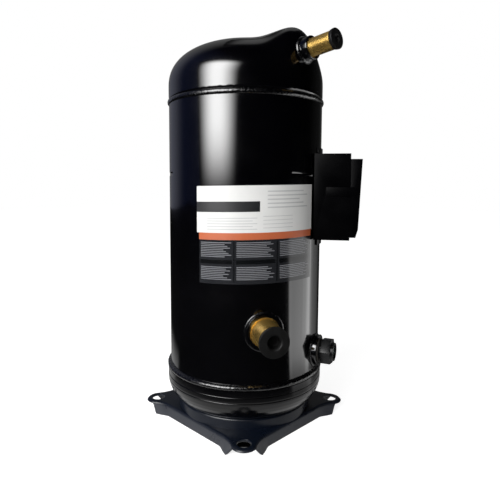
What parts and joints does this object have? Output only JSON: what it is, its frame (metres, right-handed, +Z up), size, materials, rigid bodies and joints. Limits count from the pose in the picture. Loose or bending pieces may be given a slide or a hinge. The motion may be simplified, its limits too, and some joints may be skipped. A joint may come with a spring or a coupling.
{
  "type": "scroll compressor",
  "caption": "Upright hermetic scroll compressor: black welded shell on a pressed base with feet, brass pipe stubs, sight glass and side terminal box, with motor, crank and scroll set inside.",
  "frame": {"origin": "on the shell's axis, level with the underside of the feet (the mounting plane), at the centre of the mounting holes' square", "axes": "+Z up the shell's axis; +X the way the discharge stub points; the base's sides are parallel to X and Y"},
  "size_m": [0.2843, 0.2544, 0.56],
  "materials": {
    "black_paint": "gloss",
    "sight_steel": "satin",
    "stub_brass": "satin",
    "cap_rubber": "matte",
    "gasket_fibre": "matte",
    "sight_glass": "gloss",
    "box_plastic": "satin",
    "zinc_screws": "satin",
    "pressed_steel": "satin",
    "glass_seal": "gloss",
    "terminal_steel": "satin",
    "block_plastic": "matte",
    "lead_sleeving": "matte",
    "magnet_ferrite": "matte",
    "bearing_bronze": "satin",
    "ground_steel": "satin",
    "laminations": "satin",
    "cast_aluminium": "satin",
    "weight_brass": "satin",
    "copper_wire": "satin",
    "grey_iron": "satin"
  },
  "bodies": {
    "housing": {"base_plate": "black_paint", "bottom_cap": "black_paint", "bottom_weld": "black_paint", "shell": "black_paint", "seam_weld": "black_paint", "top_cap": "black_paint", "suction_boss": "black_paint", "suction_stub": "stub_brass", "suction_baffle": "pressed_steel", "discharge_boss": "black_paint", "discharge_stub": "stub_brass", "sight_boss": "black_paint", "sight_gasket": "gasket_fibre", "sight_body": "sight_steel", "sight_lens": "sight_glass", "terminal_bracket": "black_paint", "terminal_box": "box_plastic", "box_nuts": "zinc_screws", "terminal_cup": "pressed_steel", "terminal_glass": "glass_seal", "terminal_pins": "terminal_steel", "terminal_block": "block_plastic", "terminal_screws": "zinc_screws", "ground_screw": "zinc_screws", "lead_connector": "block_plastic", "motor_leads": "lead_sleeving", "sump_magnet": "magnet_ferrite", "lower_bracket": "pressed_steel", "lower_bush": "bearing_bronze", "thrust_plate": "ground_steel", "stator_core": "laminations", "windings": "copper_wire", "main_housing": "grey_iron", "main_bush": "bearing_bronze", "guide_sleeves": "pressed_steel", "guide_bolts": "pressed_steel", "partition": "pressed_steel", "valve_seat": "ground_steel", "valve_cage": "ground_steel"},
    "crank": {"crankshaft": "ground_steel", "drive_bushing": "ground_steel", "oil_tube": "pressed_steel", "rotor_core": "laminations", "rotor_rings": "cast_aluminium", "upper_weight": "weight_brass", "lower_weight": "weight_brass"},
    "orbiter": {"orbiting_scroll": "grey_iron", "orbiting_bush": "bearing_bronze", "oldham_ring": "cast_aluminium"},
    "fixed_set": {"fixed_scroll": "grey_iron"},
    "seal": {"floating_seal": "grey_iron"},
    "check_disc": {"valve_disc": "ground_steel"},
    "cover": {"box_cover": "box_plastic"},
    "suction_closure": {"suction_cap": "cap_rubber"},
    "discharge_closure": {"discharge_cap": "cap_rubber"}
  },
  "joints": [
    {"name": "crank_spin", "type": "hinge", "parent": "housing", "child": "crank", "pos_m": [0, 0, 0.2], "axis": [0, 0, 1], "continuous": true},
    {"name": "scroll_orbit", "type": "hinge", "parent": "crank", "child": "orbiter", "pos_m": [0.005, 0, 0.385], "axis": [0, 0, 1], "continuous": true},
    {"name": "scroll_float", "type": "slide", "parent": "housing", "child": "fixed_set", "axis": [0, 0, 1], "range_m": [0, 0.0008]},
    {"name": "seal_lift", "type": "slide", "parent": "fixed_set", "child": "seal", "axis": [0, 0, 1], "range_m": [0, 0.0008]},
    {"name": "valve_lift", "type": "slide", "parent": "housing", "child": "check_disc", "axis": [0, 0, 1], "range_m": [0, 0.004]},
    {"name": "cover_pull", "type": "slide", "parent": "housing", "child": "cover", "axis": [0.8192, 0.5736, 0], "range_m": [0, 0.06]},
    {"name": "suction_cap_pull", "type": "slide", "parent": "housing", "child": "suction_closure", "axis": [0.8526, -0.5225, 0], "range_m": [0, 0.06]},
    {"name": "discharge_cap_pull", "type": "slide", "parent": "housing", "child": "discharge_closure", "axis": [0.9945, 0, 0.1045], "range_m": [0, 0.05]}
  ],
  "couplings": [
    {"joint": "scroll_orbit", "follows": "crank_spin", "ratio": -1}
  ]
}
